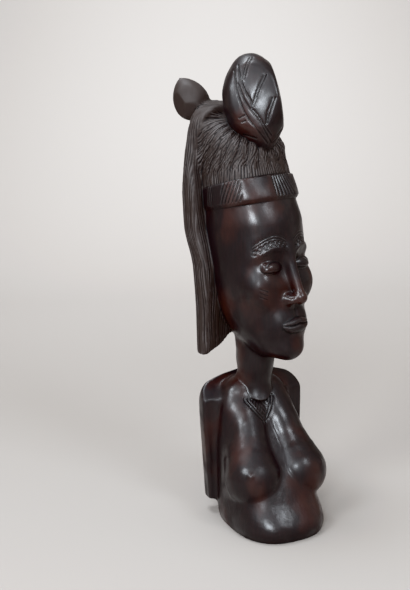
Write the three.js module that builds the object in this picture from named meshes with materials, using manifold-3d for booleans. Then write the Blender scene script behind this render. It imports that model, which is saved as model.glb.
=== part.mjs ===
// Wooden female bust, carved from one block of dark hardwood.
//
// Units are millimetres and +Z is up. The figure faces -Y, so +X is her left.
// The origin is the middle of the flat underside.
//
// The bust is one solid form. Each feature is a field: a function of x, y and z that is
// negative inside the wood and positive outside. Fields are blended where the carver rounded
// one form into the next and cut where the knife left an edge. The whole field is then
// skinned with triangles, and the skin is pared down to the few that carry its shape.
import * as THREE from "three";
import { mergeVertices } from "three/addons/utils/BufferGeometryUtils.js";
import Module from "manifold-3d";

// Overall sizes
const BASE_HALF_WIDTH = 41;
const BASE_HALF_DEPTH = 51.5;
const WAIST_HALF_WIDTH = 38;
const BREAST_RADIUS = 25.2;
const BREAST_HEIGHT = 44.5;
const BREAST_APART = 44;
const BREAST_Y = -6.5;
const NIPPLE_OUT = THREE.MathUtils.degToRad(33);
const NIPPLE_RISE = THREE.MathUtils.degToRad(26);
const SHOULDER_HALF_WIDTH = 49.5;
const WRIST_HALF_WIDTH = 46;
const ARM_FRONT = 32.5;
const ARM_BACK = 50.5;
const ARM_END_HEIGHT = 13;
const SHOULDER_EDGE = 107;
const NECK_RADIUS = 14;
const FACE_HALF_WIDTH = 39.5;
const FACE_CENTRE_HEIGHT = 215;
const THIRD = 47;
const FOREHEAD_DEPTH = 49;
const EYE_APART = 33;
const EYE_HEIGHT = 9;
const MOUTH_HALF_WIDTH = 14.5;
const UPPER_LIP = 6.3;
const LOWER_LIP = 7.6;
const HAIR_HALF_WIDTH = 48.5;
const HAIR_TIP_HEIGHT = 148;
const HAIR_TOP_HEIGHT = 361;
const LOCK_PITCH = 6.2;
const LOCK_DEPTH = 0.8;
const CROWN_LEAN = 0.7;
const CROWN_LOCK_PITCH = 12.5;
const CROWN_LOCK_DEPTH = 1.3;
const BAND_HALF_WIDTH = 40.5;
const BAND_HALF_HEIGHT = 10;
const LEAF_HALF_HEIGHT = 42.5;
const LEAF_HALF_WIDTH = 27;
const LEAF_HALF_DEPTH = 28;
const LEAF_LEAN = THREE.MathUtils.degToRad(15);
const LEAF_CHEEK_TURN = THREE.MathUtils.degToRad(50);
const LEAF_CHEEK_RADIUS = 95;
const LEAF_CHEEK_REACH = 21;
const BUD_RADIUS = 15.8;
const PENDANT_X = -1.5;
const PENDANT_TIP = 90;
const PENDANT_TOP = 107;
const PENDANT_HALF_WIDTH = 12.5;
const PENDANT_GROOVE_DEPTH = 1;
const PENDANT_GROOVE_REACH = 2;

// The middle line of the body and head stands a little to her left of the base's middle
const MIDDLE_X = 3;
const NECK_Y = 31.5;
const HEAD_TURN = THREE.MathUtils.degToRad(16);
const HEAD_TILT = THREE.MathUtils.degToRad(6);

// The skin's cell and the number of triangles that are kept
const CELL = 2;
const TRIANGLES_KEPT = 9900;

const { abs, cos, exp, hypot, max, min, PI, sin, sqrt } = Math;

function clamp(value, low, high) {
  return min(max(value, low), high);
}

// Runs smoothly from 0 to 1 while the share does.
function ease(share) {
  const t = clamp(share, 0, 1);
  return t * t * (3 - 2 * t);
}

// Joins two fields with a fillet about k wide.
function join(a, b, k) {
  const h = max(k - abs(a - b), 0) / k;
  return min(a, b) - (h * h * k) / 4;
}

// Keeps what lies in both fields, with the edge between them rounded over k.
function keep(a, b, k) {
  return -join(-a, -b, k);
}

function cut(a, tool, k) {
  return keep(a, -tool, k);
}

// A smooth curve through [position, value] keys that never overshoots them.
function keyedCurve(keys) {
  const last = keys.length - 1;
  const step = [];
  const slope = [];
  for (let i = 0; i < last; i++) {
    step.push(keys[i + 1][0] - keys[i][0]);
    slope.push((keys[i + 1][1] - keys[i][1]) / step[i]);
  }
  const tangent = [slope[0]];
  for (let i = 1; i < last; i++) {
    const turns = slope[i - 1] * slope[i] <= 0;
    tangent.push(turns ? 0 : (2 * slope[i - 1] * slope[i]) / (slope[i - 1] + slope[i]));
  }
  tangent.push(slope[last - 1]);
  return (position) => {
    const p = clamp(position, keys[0][0], keys[last][0]);
    let i = 0;
    while (i < last - 1 && p >= keys[i + 1][0]) i++;
    const u = (p - keys[i][0]) / step[i];
    const u2 = u * u;
    const u3 = u2 * u;
    const values = keys[i][1] * (2 * u3 - 3 * u2 + 1) + keys[i + 1][1] * (3 * u2 - 2 * u3);
    const tangents = tangent[i] * (u3 - 2 * u2 + u) + tangent[i + 1] * (u3 - u2);
    return values + step[i] * tangents;
  };
}

function ellipsoid(x, y, z, centre, radii) {
  const px = (x - centre[0]) / radii[0];
  const py = (y - centre[1]) / radii[1];
  const pz = (z - centre[2]) / radii[2];
  const reach = hypot(px, py, pz);
  const gradient = hypot(px / radii[0], py / radii[1], pz / radii[2]);
  return (reach * (reach - 1)) / max(gradient, 1e-6);
}

// A round-ended rod whose radius runs evenly from one end to the other.
function rod(x, y, z, from, to, fromRadius, toRadius) {
  const dx = to[0] - from[0];
  const dy = to[1] - from[1];
  const dz = to[2] - from[2];
  const along = (x - from[0]) * dx + (y - from[1]) * dy + (z - from[2]) * dz;
  const t = clamp(along / (dx * dx + dy * dy + dz * dz), 0, 1);
  const away = hypot(x - from[0] - t * dx, y - from[1] - t * dy, z - from[2] - t * dz);
  return away - (fromRadius + (toRadius - fromRadius) * t);
}

// A column of rounded sections. Each row is [height, half width, front y, back y].
function column(rows, roundness) {
  const halfWidth = keyedCurve(rows.map((row) => [row[0], row[1]]));
  const front = keyedCurve(rows.map((row) => [row[0], row[2]]));
  const back = keyedCurve(rows.map((row) => [row[0], row[3]]));
  return (x, y, z) => {
    const a = halfWidth(z);
    const f = front(z);
    const b = back(z);
    const half = (b - f) / 2;
    const across = abs(x / a) ** roundness;
    const deep = abs((y - (f + b) / 2) / half) ** roundness;
    return ((across + deep) ** (1 / roundness) - 1) * min(a, half);
  };
}

// Torso and base, carved as one flaring column with a flat underside
const torsoColumn = column(
  [
    [0, BASE_HALF_WIDTH - 1.5, -BASE_HALF_DEPTH + 2, BASE_HALF_DEPTH],
    [8, BASE_HALF_WIDTH, -BASE_HALF_DEPTH, BASE_HALF_DEPTH],
    [30, WAIST_HALF_WIDTH + 1, -37, BASE_HALF_DEPTH],
    [46, WAIST_HALF_WIDTH, -27.5, BASE_HALF_DEPTH],
    [62, WAIST_HALF_WIDTH - 1, -14.5, BASE_HALF_DEPTH - 1],
    [80, WAIST_HALF_WIDTH - 3, 1, BASE_HALF_DEPTH - 1],
    [98, WAIST_HALF_WIDTH - 5, 11, BASE_HALF_DEPTH - 2],
    [114, 27, 20.5, BASE_HALF_DEPTH - 4],
    [130, 18, 25, BASE_HALF_DEPTH - 7],
    [142, 16, 27, BASE_HALF_DEPTH - 10],
  ],
  2.6,
);

function torso(x, y, z) {
  // The form runs on below the underside, where it is cut off flat at the end
  const capped = keep(torsoColumn(x, y, z), z - 128, 14);
  return keep(capped, -3 - z, 1);
}

function breasts(x, y, z) {
  const side = abs(x - MIDDLE_X);
  const apart = BREAST_APART / 2;
  const radii = [BREAST_RADIUS, BREAST_RADIUS, BREAST_RADIUS];
  const fullness = ellipsoid(side, y, z, [apart, BREAST_Y, BREAST_HEIGHT], radii);
  const waist = [15.5, 19.8, 85.2];
  const upper = rod(side, y, z, [13, 31.5, 107], waist, 11, 16);
  const slope = join(upper, rod(side, y, z, waist, [apart - 2.5, 4.8, 59], 16, 22), 10);
  const reach = cos(NIPPLE_RISE) * BREAST_RADIUS;
  const tip = [
    apart + sin(NIPPLE_OUT) * reach,
    BREAST_Y - cos(NIPPLE_OUT) * reach,
    BREAST_HEIGHT + sin(NIPPLE_RISE) * BREAST_RADIUS,
  ];
  const nipple = ellipsoid(side, y, z, tip, [3, 0.5, 3]);
  return join(join(fullness, slope, 6), nipple, 2);
}

const shoulderLine = keyedCurve([
  [0, 146],
  [16, 141],
  [24, 133],
  [34, 126],
  [41, 121.5],
  [48, 115],
  [SHOULDER_HALF_WIDTH + 2, 108],
]);

// Shoulders and the two arms, which hang straight down behind the body like planks
function arms(x, y, z) {
  const side = abs(x - MIDDLE_X);
  const rise = clamp((z - ARM_END_HEIGHT) / 80, 0, 1);
  const halfWidth = WRIST_HALF_WIDTH + (SHOULDER_HALF_WIDTH - WRIST_HALF_WIDTH) * rise;
  const front = ARM_FRONT + (side - 40) * 0.2;
  let form = keep(front - y, side - halfWidth, 3);
  form = keep(form, y - ARM_BACK, 9);
  form = keep(form, (z - shoulderLine(side)) * 0.8, 9);
  form = keep(form, (z - SHOULDER_EDGE - (y - front) * 0.85) * 0.76, 2);
  form = keep(form, ARM_END_HEIGHT - z, 1.5);
  const grooveX = 34 - (z - ARM_END_HEIGHT) * 0.06;
  const groove = hypot(side - grooveX, y - ARM_BACK - 1.5) - 4;
  return cut(form, keep(groove, z - 108, 6), 2.5);
}

// The neck stands out a little from the chest and ends in a curved hem above the pendant
function neck(x, y, z) {
  const foot = clamp((122 - z) / 22, 0, 1) ** 2;
  const widening = 3 * ease((z - 118) / 26) + 3 * clamp((z - 150) / 30, 0, 1);
  const radius = NECK_RADIUS + 3 * foot + widening;
  const centreX = MIDDLE_X - clamp((170 - z) / 30, 0, 1);
  const centreY = NECK_Y - 3.5 - 8.5 * foot + 0.5 * clamp((z - 120) / 50, 0, 1);
  const form = hypot(x - centreX, (y - centreY) * 0.95) - radius;
  const hem = PENDANT_TOP + 0.03 * (x - PENDANT_X) ** 2;
  return keep(keep(form, z - 190, 4), hem - z, 1.5);
}

// How far inside the pendant's outline a point of the chest is
function insidePendant(x, z) {
  const rise = clamp((z - PENDANT_TIP) / (PENDANT_TOP - PENDANT_TIP), 0, 1);
  const halfWidth = PENDANT_HALF_WIDTH * rise ** (x < PENDANT_X ? 0.9 : 0.55);
  return (halfWidth - abs(x - PENDANT_X)) * 0.8;
}

// The face, in a frame that turns and tilts with the head. Its height above the face's middle
// is counted in thirds: hairline to brow, brow to nose, nose to chin.
const BROW = THIRD / 2;
const NOSE_BASE = -THIRD / 2;
const CHIN = -1.5 * THIRD;

const headColumn = column(
  [
    [CHIN, 13, -38, -8],
    [CHIN + 9, 19.5, -42.5, 4],
    [CHIN + 22, 27.5, -45, 18],
    [NOSE_BASE - 5, 34.5, -46.5, 28],
    [0, FACE_HALF_WIDTH - 1, -47.5, 35],
    [BROW + 1, FACE_HALF_WIDTH, -FOREHEAD_DEPTH, 38],
    [BROW + 21, FACE_HALF_WIDTH, -FOREHEAD_DEPTH + 0.5, 38],
    [BROW + 36, FACE_HALF_WIDTH - 1, -44.5, 38],
    [BROW + 52, FACE_HALF_WIDTH - 2.5, -38, 38],
    [BROW + 76, FACE_HALF_WIDTH - 5.5, -29, 38],
  ],
  2.15,
);

// How far the arched brow stands out from the forehead
function browRidge(side, z) {
  const t = clamp((side - 3) / 29, 0, 1);
  const line = BROW - 3 + 7 * sin(PI * t ** 0.9) - 3 * t;
  const fade = ease((side - 2) / 8) * ease((37 - side) / 14);
  return 1.9 * exp(-(((z - line) / 3.4) ** 2)) * fade;
}

function nose(x, side, y, z) {
  const bridge = rod(x, y, z, [0, -44.5, BROW], [0, -55.5, NOSE_BASE + 8], 3.8, 4.2);
  const tip = ellipsoid(x, y, z, [0, -55.5, NOSE_BASE + 6], [5.8, 6, 5.4]);
  const wing = ellipsoid(side, y, z, [6.4, -49.5, NOSE_BASE + 4.6], [4.4, 6.2, 4.2]);
  return join(join(bridge, tip, 3), wing, 3.5);
}

// A ball under a heavy upper lid and a thin lower one, with a narrow slit between them
function eye(side, y, z) {
  const across = clamp((side - EYE_APART / 2) / 10.5, -1, 1);
  const arch = 1 - across * across;
  const slit = EYE_HEIGHT - 2.4 - 0.6 * across - 1.6 * arch;
  const upperLid = clamp((z - slit - 0.9) / 0.6, 0, 1) * clamp(arch * 4, 0, 1);
  const lowerLid = clamp((slit - 1.3 - z) / 0.6, 0, 1);
  const fold = exp(-(((z - slit - 9.2 * arch ** 0.8 - 0.5) / 0.8) ** 2)) * clamp(arch * 2, 0, 1);
  const ball = ellipsoid(side, y, z, [EYE_APART / 2, -37.5, EYE_HEIGHT], [11.5, 9.6, 8.2]);
  return ball + 1 - upperLid - 0.7 * lowerLid + 0.6 * fold;
}

// How far the lips stand out, from a crisp edge to the line where they meet
function lips(side, z) {
  const across = clamp(side / MOUTH_HALF_WIDTH, 0, 1);
  const line = CHIN + THIRD * 0.666 - 0.9 * sin(PI * across) - 0.4 * across;
  const upperTaper = sqrt(1 - across ** 1.7);
  const lowerTaper = sqrt(1 - across ** 2);
  const upper = UPPER_LIP * upperTaper - 1.1 * exp(-((side / 2.2) ** 2));
  const lower = LOWER_LIP * lowerTaper;
  const swell = (share) => (share > 0 && share < 1 ? sin(PI * share ** 0.75) : 0);
  const upperSwell = swell((z - line) / max(upper, 0.3)) * upperTaper;
  const lowerSwell = swell((line - z) / max(lower, 0.3)) * lowerTaper;
  return 2.7 * upperSwell + 3 * lowerSwell;
}

function philtrum(side, z) {
  const between = clamp((NOSE_BASE - 2 - z) / 2, 0, 1) * clamp((z - NOSE_BASE + 11.5) / 2, 0, 1);
  return 0.8 * exp(-((side / 1.9) ** 2)) * between;
}

function face(x, y, z) {
  const side = abs(x);
  const inFront = y < 0 ? 1 : 0;
  let form = keep(headColumn(x, y, z), CHIN - z, 9);
  form = keep(form, z - 100, 8);
  form = cut(form, ellipsoid(side, y, z, [17.5, -51.5, 8], [14.5, 8.5, 10.5]), 8);
  form = cut(form, ellipsoid(side, y, z, [31, -50, -40], [12, 12, 20]), 12);
  form = join(form, ellipsoid(side, y, z, [22, -33, -7], [12, 10, 12]), 12);
  form -= inFront * browRidge(side, z);
  form = join(form, nose(x, side, y, z), 7);
  form = cut(form, ellipsoid(side, y, z, [3.9, -52.5, NOSE_BASE - 0.2], [2.3, 3.6, 1.8]), 1.2);
  form = join(form, eye(side, y, z), 1.2);
  form = join(form, ellipsoid(x, y, z, [0, -38.5, CHIN + 31], [17.5, 10.5, 13]), 10);
  form += inFront * (philtrum(side, z) - lips(side, z));
  return join(form, ellipsoid(x, y, z, [0, -38.5, CHIN + 9.5], [12, 9, 9.5]), 9);
}

// Flutes that part the hair into locks, from 0 on a lock's ridge to 1 between two locks
function flutes(across, pitch) {
  return 1 - abs(sin((PI * across) / pitch));
}

const hairBack = keyedCurve([
  [140, 24.5],
  [185, 24.3],
  [225, 26.5],
  [262, 36.8],
  [295, 38],
  [330, 38],
  [HAIR_TOP_HEIGHT, 40],
]);
const hairHalfWidth = keyedCurve([
  [140, HAIR_HALF_WIDTH - 1],
  [200, HAIR_HALF_WIDTH - 0.5],
  [285, HAIR_HALF_WIDTH],
  [308, 46.3],
  [333, 41.4],
  [347, 35.7],
  [356, 27],
  [HAIR_TOP_HEIGHT, 18],
]);
const hairThickness = keyedCurve([
  [140, 10],
  [165, 14],
  [200, 16],
  [250, 18],
  [285, 17],
  [310, 12],
  [330, 9],
  [HAIR_TOP_HEIGHT, 16],
]);
const hairHem = keyedCurve([
  [0, 167],
  [18, 163],
  [28, 155],
  [37, HAIR_TIP_HEIGHT + 3],
  [44, HAIR_TIP_HEIGHT],
  [60, HAIR_TIP_HEIGHT],
]);

// The long fall of hair behind the head, ending in two points behind the shoulders
function fallOfHair(x, y, z) {
  const halfWidth = hairHalfWidth(z);
  const edge = hairBack(z);
  const side = abs(x);
  const fullness = 12 * (1 - clamp(side / halfWidth, 0, 1) ** 2);
  const spread = x * (HAIR_HALF_WIDTH / halfWidth);
  const back = y - edge - fullness + LOCK_DEPTH * flutes(spread, LOCK_PITCH);
  let form = keep(back, side - halfWidth + 0.5 * LOCK_DEPTH * flutes(y - edge, LOCK_PITCH), 5);
  form = keep(form, edge - hairThickness(z) - y, 5);
  form = keep(form, hairHem(side) - z, 4);
  return keep(form, z - HAIR_TOP_HEIGHT, 8);
}

function bandMiddle(y) {
  return 287 - 0.22 * y;
}

function bandHalfHeight(y) {
  return BAND_HALF_HEIGHT - 0.03 * y;
}

const crownColumn = column(
  [
    [276, 39, -32, 42],
    [290, 39, -32, 42],
    [305, 38.5, -26, 44],
    [316, 38, -23, 46],
    [328, 36.5, -22, 48],
    [345, 32.5, -8, 50],
    [360, 25, 12, 50],
    [372, 18, 20, 48],
  ],
  2.3,
);

// The hair combed up from the headband and gathered towards the knots, highest at the back
function crown(x, y, z) {
  const bend = Math.atan2(x, 12 - y);
  const aboveBand = z - bandMiddle(y) - bandHalfHeight(y);
  const lean = CROWN_LEAN * sin(clamp(bend, -PI / 2, PI / 2));
  const combed = bend * 36 + lean * max(aboveBand - 8, 0);
  const parting = flutes(combed + 0.12 * z, CROWN_LOCK_PITCH);
  const apart = ease((hypot(x, 12 - y) - 12) / 10);
  const locks = CROWN_LOCK_DEPTH * parting * ease((aboveBand - 3) / 8) * apart;
  const form = keep(crownColumn(x, y, z) + locks, (z - (326 + (y + 30) * 0.5)) * 0.89 + locks, 12);
  return keep(form, bandMiddle(y) - z, 2);
}

const bandColumn = column(
  [
    [262, BAND_HALF_WIDTH, -39, 42],
    [283, BAND_HALF_WIDTH, -37.5, 42],
    [305, BAND_HALF_WIDTH - 1, -28, 42],
  ],
  2.25,
);

function headband(x, y, z) {
  const strip = abs(z - bandMiddle(y)) * 0.975 - bandHalfHeight(y);
  const aboveFoot = z - bandMiddle(y) + bandHalfHeight(y);
  const bevel = 0.55 * max(3.2 - aboveFoot, 0);
  return keep(keep(bandColumn(x, y, z) + bevel, strip, 1), y - 30, 4);
}

const leafSwell = keyedCurve([
  [-LEAF_HALF_HEIGHT, 0.03],
  [-38, 0.27],
  [-28, 0.59],
  [-14, 0.9],
  [0, 1],
  [12, 0.97],
  [24, 0.81],
  [34, 0.55],
  [40, 0.3],
  [LEAF_HALF_HEIGHT, 0.03],
]);

// The leaf-shaped knot that leans back over the forehead: two domed leaves that meet in a keel
function leafKnot(x, y, z) {
  const fromY = y + 6.4;
  const fromZ = z - 361.5;
  const v = fromY * cos(LEAF_LEAN) - fromZ * sin(LEAF_LEAN);
  const w = fromY * sin(LEAF_LEAN) + fromZ * cos(LEAF_LEAN);
  const swell = hypot(x / LEAF_HALF_WIDTH, v / LEAF_HALF_DEPTH) - leafSwell(w);
  const pod = keep(swell * LEAF_HALF_WIDTH * 0.8, abs(w) - LEAF_HALF_HEIGHT, 2);
  const inset = LEAF_CHEEK_RADIUS - LEAF_CHEEK_REACH;
  const across = abs(x) + inset * sin(LEAF_CHEEK_TURN);
  const deep = v - inset * cos(LEAF_CHEEK_TURN);
  const cheek = hypot(across, deep, w * 0.8) - LEAF_CHEEK_RADIUS;
  return keep(pod, cheek, 1.6);
}

// The smaller knot behind: a bud with its point up and a flat cut across its lower side
function budKnot(x, y, z) {
  const start = [-15, 59, 363];
  const axis = [-5, 9.5, 20.5];
  const from = [x - start[0], y - start[1], z - start[2]];
  const share = clamp(dot(from, axis) / dot(axis, axis), 0, 1);
  const away = hypot(...minus(from, axis.map((length) => share * length)));
  const bud = away - (BUD_RADIUS - 1) * (1 - share * share) ** 0.75 - 1;
  const hollow = ellipsoid(x, y, z, [-34.5, 46, 371], [9, 10, 11]);
  const endCut = -0.97 * from[0] - 0.22 * from[2] - BUD_RADIUS * 0.8;
  return keep(cut(bud, hollow, 7), endCut, 1.2);
}

function carving(x, y, z) {
  let body = join(torso(x, y, z), arms(x, y, z), 5);
  body = join(body, breasts(x, y, z), 1.8 + 9 * ease((z - 86) / 22));
  if (z > PENDANT_TIP - 4 && z < PENDANT_TOP + 3 && y < 25) {
    body += PENDANT_GROOVE_DEPTH * (1 - clamp(abs(insidePendant(x, z)) / PENDANT_GROOVE_REACH, 0, 1));
  }
  body = join(body, neck(x, y, z), 1.5 + 6 * ease((z - 117) / 12));

  const fromX = x - MIDDLE_X;
  const fromY = y - NECK_Y;
  const headX = fromX * cos(HEAD_TURN) + fromY * sin(HEAD_TURN);
  const headY = fromY * cos(HEAD_TURN) - fromX * sin(HEAD_TURN);
  const rise = z - FACE_CENTRE_HEIGHT;
  const faceY = headY * cos(HEAD_TILT) - rise * sin(HEAD_TILT);
  const faceZ = headY * sin(HEAD_TILT) + rise * cos(HEAD_TILT);
  const merging = 2 + 10 * ease((z - 294) / 30);
  const hair = join(fallOfHair(headX, headY, z), crown(headX, headY, z), merging);
  let head = join(face(headX, faceY, faceZ), hair, 3);
  head = join(head, headband(headX, headY, z), 0.8);
  head = join(head, leafKnot(headX, headY, z), 1.5);
  head = join(head, budKnot(headX, headY, z), 3);
  return join(body, head, 4);
}

// The field below the underside runs straight down, and is cut off flat at the end
const BLOCK_LOW = [-62, -62, -6];
const BLOCK_HIGH = [58, 106, 408];

// Each cube of the block is divided into six tetrahedra along its diagonal, so that
// neighbours share their faces. A corner's steps along x, y and z are the bits 1, 2 and 4.
const TETRAHEDRA = [
  [0, 1, 3, 7],
  [0, 1, 5, 7],
  [0, 2, 3, 7],
  [0, 2, 6, 7],
  [0, 4, 5, 7],
  [0, 4, 6, 7],
];

function minus(a, b) {
  return [a[0] - b[0], a[1] - b[1], a[2] - b[2]];
}

function between(a, b, t) {
  return [a[0] + t * (b[0] - a[0]), a[1] + t * (b[1] - a[1]), a[2] + t * (b[2] - a[2])];
}

function dot(a, b) {
  return a[0] * b[0] + a[1] * b[1] + a[2] * b[2];
}

function cross(a, b) {
  return [a[1] * b[2] - a[2] * b[1], a[2] * b[0] - a[0] * b[2], a[0] * b[1] - a[1] * b[0]];
}

// Covers the surface where the field is zero with small triangles that face the air.
function skin(field) {
  const count = BLOCK_LOW.map((low, axis) => Math.ceil((BLOCK_HIGH[axis] - low) / CELL) + 1);
  const stride = [1, count[0], count[0] * count[1]];
  const stepTo = [];
  for (let corner = 0; corner < 8; corner++) {
    const steps = [corner & 1, (corner >> 1) & 1, corner >> 2];
    stepTo.push(dot(steps, stride));
  }
  const place = (index) => [
    BLOCK_LOW[0] + CELL * (index % count[0]),
    BLOCK_LOW[1] + CELL * (Math.floor(index / stride[1]) % count[1]),
    BLOCK_LOW[2] + CELL * Math.floor(index / stride[2]),
  ];
  const value = new Float64Array(stride[2] * count[2]);
  for (let index = 0; index < value.length; index++) {
    value[index] = field(...place(index)) || 1e-9;
  }

  const points = [];
  const pointOnEdge = new Map();
  function crossing(cube, a, b) {
    const first = cube + stepTo[min(a, b)];
    const second = cube + stepTo[max(a, b)];
    const key = first * 8 + (a ^ b);
    if (!pointOnEdge.has(key)) {
      const [start, end] = [place(first), place(second)];
      let t = value[first] / (value[first] - value[second]);
      const probe = field(...between(start, end, t));
      if (probe < 0 === value[first] < 0) t += ((1 - t) * probe) / (probe - value[second]);
      else t *= value[first] / (value[first] - probe);
      pointOnEdge.set(key, points.length);
      points.push(between(start, end, clamp(t, 0.05, 0.95)));
    }
    return pointOnEdge.get(key);
  }

  const faces = [];
  function addFace([a, b, c], outward) {
    const normal = cross(minus(points[b], points[a]), minus(points[c], points[a]));
    faces.push(dot(normal, outward) > 0 ? [a, b, c] : [a, c, b]);
  }
  for (let cube = 0; cube < value.length - stepTo[7]; cube++) {
    if (cube % count[0] === count[0] - 1) continue;
    if (Math.floor(cube / stride[1]) % count[1] === count[1] - 1) continue;
    const inWood = stepTo.map((step) => value[cube + step] < 0);
    if (inWood.every((flag) => flag === inWood[0])) continue;
    for (const corners of TETRAHEDRA) {
      const wood = corners.filter((corner) => inWood[corner]);
      const air = corners.filter((corner) => !inWood[corner]);
      if (!wood.length || !air.length) continue;
      const outward = minus(place(cube + stepTo[air[0]]), place(cube + stepTo[wood[0]]));
      const ring = [crossing(cube, wood[0], air[0])];
      if (wood.length === 2) {
        ring.push(crossing(cube, wood[0], air[1]));
        ring.push(crossing(cube, wood[1], air[1]));
        ring.push(crossing(cube, wood[1], air[0]));
        addFace([ring[0], ring[2], ring[3]], outward);
      } else {
        const [one, other] = wood.length === 1 ? [wood, air] : [air, wood];
        ring.push(crossing(cube, one[0], other[1]));
        ring.push(crossing(cube, one[0], other[2]));
      }
      addFace(ring, outward);
    }
  }
  return { points, faces };
}

// A heap that hands back the cheapest edge first.
class CheapestFirst {
  edges = [];

  add(edge) {
    const edges = this.edges;
    let at = edges.push(edge) - 1;
    while (at > 0) {
      const parent = (at - 1) >> 1;
      if (edges[parent].cost <= edge.cost) break;
      edges[at] = edges[parent];
      at = parent;
    }
    edges[at] = edge;
  }

  take() {
    const edges = this.edges;
    const cheapest = edges[0];
    const moved = edges.pop();
    if (!edges.length) return cheapest;
    let at = 0;
    for (;;) {
      let child = 2 * at + 1;
      if (child >= edges.length) break;
      if (child + 1 < edges.length && edges[child + 1].cost < edges[child].cost) child++;
      if (edges[child].cost >= moved.cost) break;
      edges[at] = edges[child];
      at = child;
    }
    edges[at] = moved;
    return cheapest;
  }
}

// A quadric holds the weighted squared distances to a set of planes as ten sums.
function addPlane(quadric, normal, distance, weight) {
  const plane = [...normal, distance];
  let term = 0;
  for (let i = 0; i < 4; i++) {
    for (let j = i; j < 4; j++) quadric[term++] += weight * plane[i] * plane[j];
  }
}

function quadricAt(q, [x, y, z]) {
  const squares = q[0] * x * x + q[4] * y * y + q[7] * z * z;
  const products = q[1] * x * y + q[2] * x * z + q[5] * y * z;
  return squares + 2 * (products + q[3] * x + q[6] * y + q[8] * z) + q[9];
}

// The point where the quadric is least, or null where it is a valley or a plain.
function lowestPoint(q) {
  const columns = [
    [q[0], q[1], q[2]],
    [q[1], q[4], q[5]],
    [q[2], q[5], q[7]],
  ];
  const right = [-q[3], -q[6], -q[8]];
  const determinant = dot(columns[0], cross(columns[1], columns[2]));
  const size = (q[0] + q[4] + q[7]) / 3;
  if (abs(determinant) < 1e-3 * size ** 3) return null;
  return columns.map((_, axis) => {
    const swapped = columns.map((column, i) => (i === axis ? right : column));
    return dot(swapped[0], cross(swapped[1], swapped[2])) / determinant;
  });
}

// The front of the head is seen from nearest, so its planes weigh more.
function care([x, y, z]) {
  return z > 145 && z < 268 && y < 10 ? 9 : 1;
}

// Draws edges together, the one that moves the surface least first, until few triangles are
// left. An edge is left alone where drawing it together would pinch or fold the skin.
function pare({ points, faces }, kept) {
  const quadrics = points.map(() => new Float64Array(10));
  const facesAt = points.map(() => new Set());
  const stamp = new Int32Array(points.length);
  const normalOf = (a, b, c) => cross(minus(b, a), minus(c, a));
  faces.forEach((face, f) => {
    const normal = normalOf(...face.map((v) => points[v]));
    const area = hypot(...normal);
    const unit = area > 1e-9 ? normal.map((n) => n / area) : [0, 0, 0];
    const distance = -dot(unit, points[face[0]]);
    for (const v of face) {
      addPlane(quadrics[v], unit, distance, area * care(points[v]));
      facesAt[v].add(f);
    }
  });

  const queue = new CheapestFirst();
  function consider(a, b) {
    const sum = quadrics[a].map((term, i) => term + quadrics[b][i]);
    const half = between(points[a], points[b], 0.5);
    const length = hypot(...minus(points[a], points[b]));
    const lowest = lowestPoint(sum);
    const near = lowest && hypot(...minus(lowest, half)) < 1.5 * length;
    const target = near ? lowest : half;
    const cost = quadricAt(sum, target) + 1e-4 * length ** 4;
    queue.add({ cost, a, b, target, sum, stamps: stamp[a] + stamp[b] });
  }
  const neighbours = (v) => {
    const found = new Set();
    for (const f of facesAt[v]) faces[f].forEach((other) => found.add(other));
    found.delete(v);
    return found;
  };
  function folds(v, gone, target) {
    for (const f of facesAt[v]) {
      if (faces[f].includes(gone)) continue;
      const before = normalOf(...faces[f].map((w) => points[w]));
      const after = normalOf(...faces[f].map((w) => (w === v ? target : points[w])));
      if (dot(before, after) < 0.3 * hypot(...before) * hypot(...after)) return true;
    }
    return false;
  }

  for (const [a, b, c] of faces) {
    if (a < b) consider(a, b);
    if (b < c) consider(b, c);
    if (c < a) consider(c, a);
  }
  let left = faces.length;
  while (left > kept) {
    const { a, b, target, sum, stamps } = queue.take();
    if (!facesAt[a] || !facesAt[b] || stamp[a] + stamp[b] !== stamps) continue;
    const around = neighbours(a);
    const shared = [...neighbours(b)].filter((v) => around.has(v));
    if (shared.length !== 2 || folds(a, b, target) || folds(b, a, target)) continue;
    for (const f of facesAt[b]) {
      if (faces[f].includes(a)) {
        for (const v of faces[f]) if (v !== b) facesAt[v].delete(f);
        faces[f] = null;
        left--;
      } else {
        faces[f] = faces[f].map((v) => (v === b ? a : v));
        facesAt[a].add(f);
      }
    }
    facesAt[b] = null;
    points[a] = target;
    quadrics[a] = sum;
    stamp[a] += 1;
    for (const v of neighbours(a)) consider(a, v);
  }
  return { points, faces: faces.filter((face) => face) };
}

function toGeometry({ points, faces }) {
  const geometry = new THREE.BufferGeometry();
  geometry.setAttribute("position", new THREE.Float32BufferAttribute(points.flat(), 3));
  geometry.setIndex(faces.flat());
  return geometry;
}

const wasm = await Module();
wasm.setup();

function asSolid(geometry) {
  const bare = geometry.clone();
  bare.deleteAttribute("normal");
  bare.deleteAttribute("uv");
  const merged = mergeVertices(bare, 1e-3);
  return new wasm.Manifold(
    new wasm.Mesh({
      numProp: 3,
      vertProperties: merged.attributes.position.array,
      triVerts: new Uint32Array(merged.index.array),
    }),
  );
}

function asGeometry(solid) {
  const mesh = solid.getMesh();
  const geometry = new THREE.BufferGeometry();
  geometry.setAttribute("position", new THREE.BufferAttribute(mesh.vertProperties, 3));
  geometry.setIndex(new THREE.BufferAttribute(mesh.triVerts, 1));
  return geometry;
}

// The saw cut that the bust stands on
function sawnFlat(geometry) {
  const waste = new THREE.BoxGeometry(200, 200, 40).translate(0, 0, -20);
  return asGeometry(asSolid(geometry).subtract(asSolid(waste)));
}

const ebony = new THREE.MeshStandardMaterial({
  color: 0x2b1f1c,
  roughness: 0.35,
  metalness: 0,
});

const bustGeometry = sawnFlat(toGeometry(pare(skin(carving), TRIANGLES_KEPT)));
bustGeometry.computeVertexNormals();

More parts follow.
